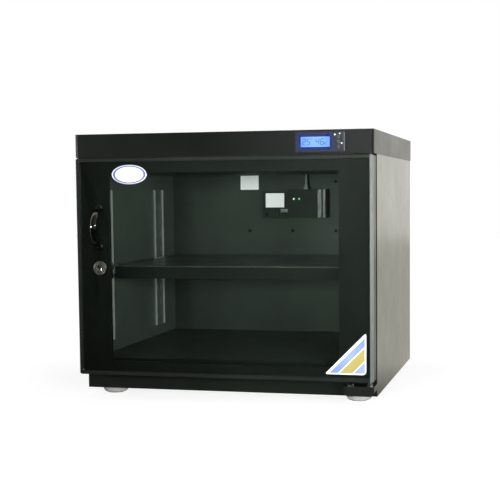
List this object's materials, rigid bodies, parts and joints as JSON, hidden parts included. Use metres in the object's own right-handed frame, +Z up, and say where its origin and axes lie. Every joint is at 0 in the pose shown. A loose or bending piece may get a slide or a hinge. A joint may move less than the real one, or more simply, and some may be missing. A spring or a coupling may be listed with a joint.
{
  "type": "camera dry cabinet",
  "caption": "Electronic dry cabinet for cameras and lenses: steel case, hinged tinted glass door with handle and lock, shelf, display and drying unit.",
  "frame": {"origin": "middle of the whole part's outline as seen from above, at the level of the feet's underside", "axes": "+X to the right as seen from the front, +Y from the door to the rear panel, +Z up"},
  "size_m": [0.48, 0.4695, 0.422],
  "materials": {
    "body_paint": "satin black powder coat",
    "frame_paint": "satin black powder coat",
    "cover_paint": "satin black powder coat",
    "liner_paint": "satin dark grey paint",
    "standard_steel": "semi-gloss grey",
    "zinc_steel": "zinc plated",
    "pin_steel": "bright turned steel",
    "bezel_plastic": "glossy black moulding",
    "button_plastic": "matte moulding",
    "screen": "lit display",
    "board": "printed board",
    "led": "lit lamp",
    "unit_plastic": "fine textured moulding",
    "white_plastic": "smooth white moulding",
    "desiccant": "matte granular block",
    "black_rubber": "matte black",
    "label": "coated blank label",
    "chrome": "polished",
    "nickel": "bright nickel plate",
    "handle_metal": "dark polished plate",
    "tinted_glass": "lightly tinted clear glass",
    "trim_metal": "semi-gloss black trim",
    "nylon": "natural nylon"
  },
  "bodies": {
    "cabinet": {"side_panel_left": "body_paint", "side_panel_right": "body_paint", "bottom_plate": "body_paint", "front_frame": "frame_paint", "liner_left": "liner_paint", "liner_right": "liner_paint", "liner_floor": "liner_paint", "liner_ceiling": "liner_paint", "liner_back": "liner_paint", "back_panel": "body_paint", "back_screws": "zinc_steel", "top_cover": "cover_paint", "display_bezel": "bezel_plastic", "lcd_screen": "screen", "display_board": "board", "status_led": "led", "standard_front_left": "standard_steel", "standard_front_right": "standard_steel", "standard_rear_left": "standard_steel", "standard_rear_right": "standard_steel", "standard_screws": "zinc_steel", "shelf_clips": "standard_steel", "wall_screws": "zinc_steel", "unit_housing": "unit_plastic", "unit_side_box": "unit_plastic", "unit_trims": "white_plastic", "unit_leds": "led", "desiccant_block": "desiccant", "unit_cable": "black_rubber", "cable_gland": "white_plastic", "unit_label": "label", "wall_label": "label", "power_inlet": "unit_plastic", "inlet_nut": "zinc_steel", "hinge_bracket_lower": "frame_paint", "hinge_bracket_upper": "zinc_steel", "hinge_pins": "pin_steel", "hinge_screws": "zinc_steel", "foot_cups": "chrome", "foot_pads": "black_rubber", "foot_screws": "zinc_steel"},
    "door": {"door_pan": "frame_paint", "door_trim": "trim_metal", "door_glass": "tinted_glass", "door_seal": "black_rubber", "door_bushes": "nylon", "handle": "handle_metal", "handle_screws": "zinc_steel", "lock_barrel": "nickel", "lock_nut": "zinc_steel", "oval_label": "label", "corner_label": "label"},
    "lock": {"lock_plug": "nickel", "lock_cam": "zinc_steel"},
    "set_button": {"button_set": "button_plastic"},
    "up_button": {"button_up": "button_plastic"},
    "down_button": {"button_down": "button_plastic"},
    "shelf": {"shelf_tray": "liner_paint"}
  },
  "joints": [
    {"name": "door_hinge", "type": "hinge", "parent": "cabinet", "child": "door", "pos_m": [0.23, -0.19475, 0.212], "axis": [0, 0, 1], "range_deg": [0, 110]},
    {"name": "lock_turn", "type": "hinge", "parent": "door", "child": "lock", "pos_m": [-0.2005, -0.19725, 0.21], "axis": [0, 1, 0], "range_deg": [0, 90]},
    {"name": "set_press", "type": "slide", "parent": "cabinet", "child": "set_button", "axis": [0, 1, 0], "range_m": [0, 0.001], "stiffness_N_per_m": 300, "springref_m": -0.001},
    {"name": "up_press", "type": "slide", "parent": "cabinet", "child": "up_button", "axis": [0, 1, 0], "range_m": [0, 0.001], "stiffness_N_per_m": 300, "springref_m": -0.001},
    {"name": "down_press", "type": "slide", "parent": "cabinet", "child": "down_button", "axis": [0, 1, 0], "range_m": [0, 0.001], "stiffness_N_per_m": 300, "springref_m": -0.001},
    {"name": "shelf_lift", "type": "slide", "parent": "cabinet", "child": "shelf", "axis": [0, 0, 1], "range_m": [0, 0.015]}
  ]
}
